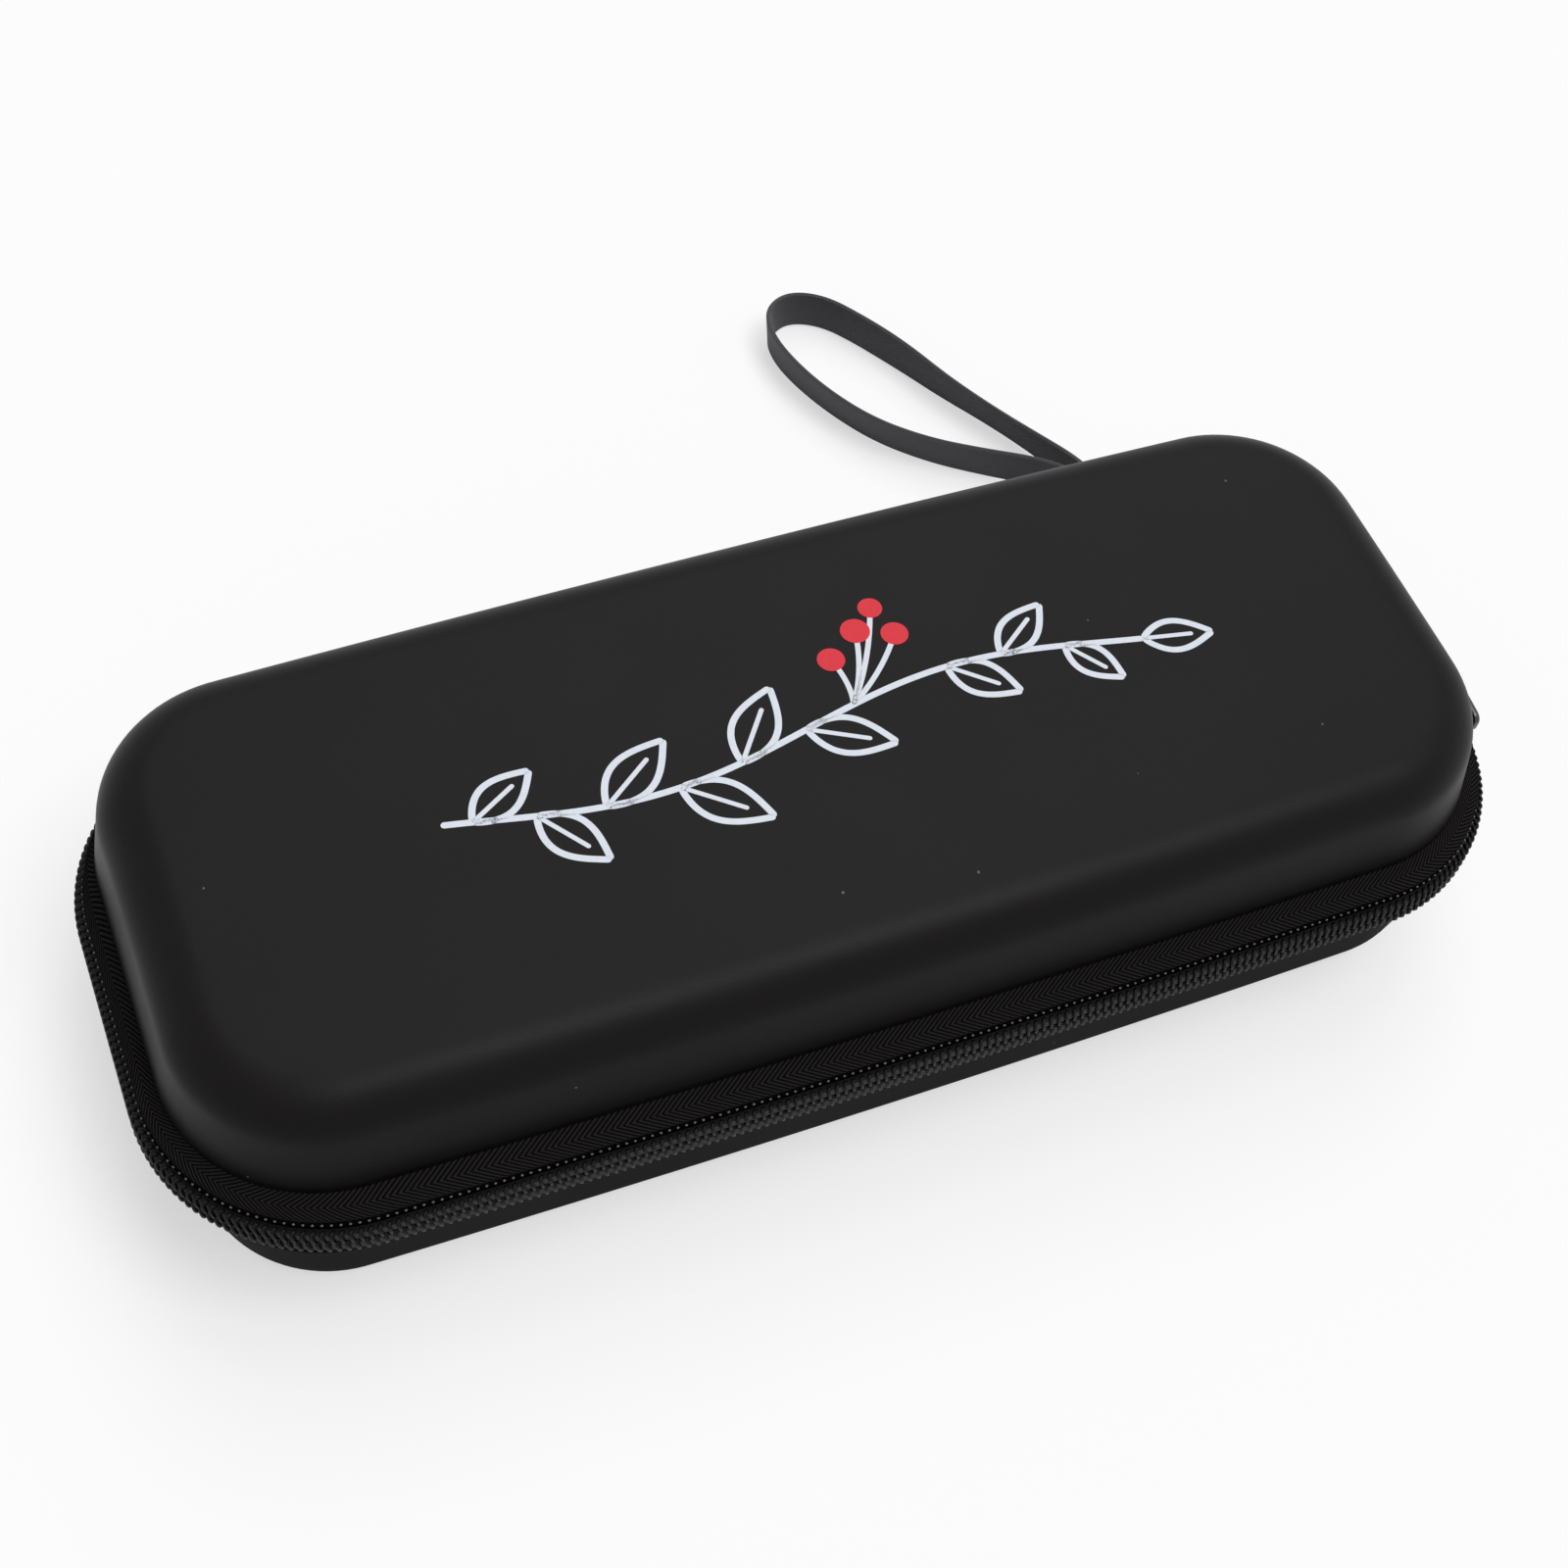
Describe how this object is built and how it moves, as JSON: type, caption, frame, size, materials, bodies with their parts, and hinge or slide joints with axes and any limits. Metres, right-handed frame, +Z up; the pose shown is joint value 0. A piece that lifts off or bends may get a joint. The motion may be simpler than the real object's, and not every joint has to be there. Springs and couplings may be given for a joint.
{
  "type": "stethoscope hard case",
  "caption": "Long zipped hard case with a moulded lid on a fabric hinge, a mesh pocket in the lid, a herringbone zip closed by sliders, and a webbing wrist strap.",
  "frame": {"origin": "middle of the base's flat underside", "axes": "+X along the case towards the end with the sliders, +Y towards the hinge, +Z up through the lid"},
  "size_m": [0.2792, 0.2144, 0.062],
  "materials": {
    "leather_skin": "matte, fine grain",
    "foam": "matte foam",
    "lining": "brushed knit",
    "binding": "ribbed tape",
    "zip_tape": "herringbone weave",
    "zip_coil": "satin nylon",
    "hinge_fabric": "plain weave",
    "net": "open mesh",
    "webbing": "plain webbing",
    "die_cast": "satin black",
    "stop_metal": "satin black"
  },
  "bodies": {
    "base": {"base_skin": "leather_skin", "base_shell": "foam", "base_lining": "lining", "base_binding": "binding", "lower_tape": "zip_tape", "lower_coil": "zip_coil", "lower_stops": "stop_metal", "hinge_strip_base": "hinge_fabric", "strap_root": "webbing", "wrist_strap": "webbing"},
    "lid": {"lid_skin": "leather_skin", "lid_shell": "foam", "lid_lining": "lining", "lid_binding": "binding", "upper_tape": "zip_tape", "upper_coil": "zip_coil", "upper_stops": "stop_metal", "hinge_strip_lid": "hinge_fabric", "pocket_net": "net", "pocket_hem": "binding", "pocket_edge_tape": "binding"},
    "front_slider": {"front_slider_body": "die_cast", "front_slider_bridge": "die_cast"},
    "front_tab": {"front_slider_tab": "die_cast"},
    "rear_slider": {"rear_slider_body": "die_cast", "rear_slider_bridge": "die_cast"},
    "rear_tab": {"rear_slider_tab": "die_cast"}
  },
  "joints": [
    {"name": "lid_hinge", "type": "hinge", "parent": "base", "child": "lid", "pos_m": [0, 0.0539, 0.033], "axis": [-1, 0, 0], "range_deg": [0, 130]},
    {"name": "front_slide", "type": "slide", "parent": "base", "child": "front_slider", "axis": [0, -1, 0], "range_m": [0, 0.011]},
    {"name": "front_tab_swing", "type": "hinge", "parent": "front_slider", "child": "front_tab", "pos_m": [0.1399, -0.00975, 0.033], "axis": [0, 0, 1], "range_deg": [0, 100]},
    {"name": "rear_slide", "type": "slide", "parent": "base", "child": "rear_slider", "axis": [0, 1, 0], "range_m": [0, 0.011]},
    {"name": "rear_tab_swing", "type": "hinge", "parent": "rear_slider", "child": "rear_tab", "pos_m": [0.1399, 0.00385, 0.033], "axis": [0, 0, -1], "range_deg": [0, 100]}
  ]
}
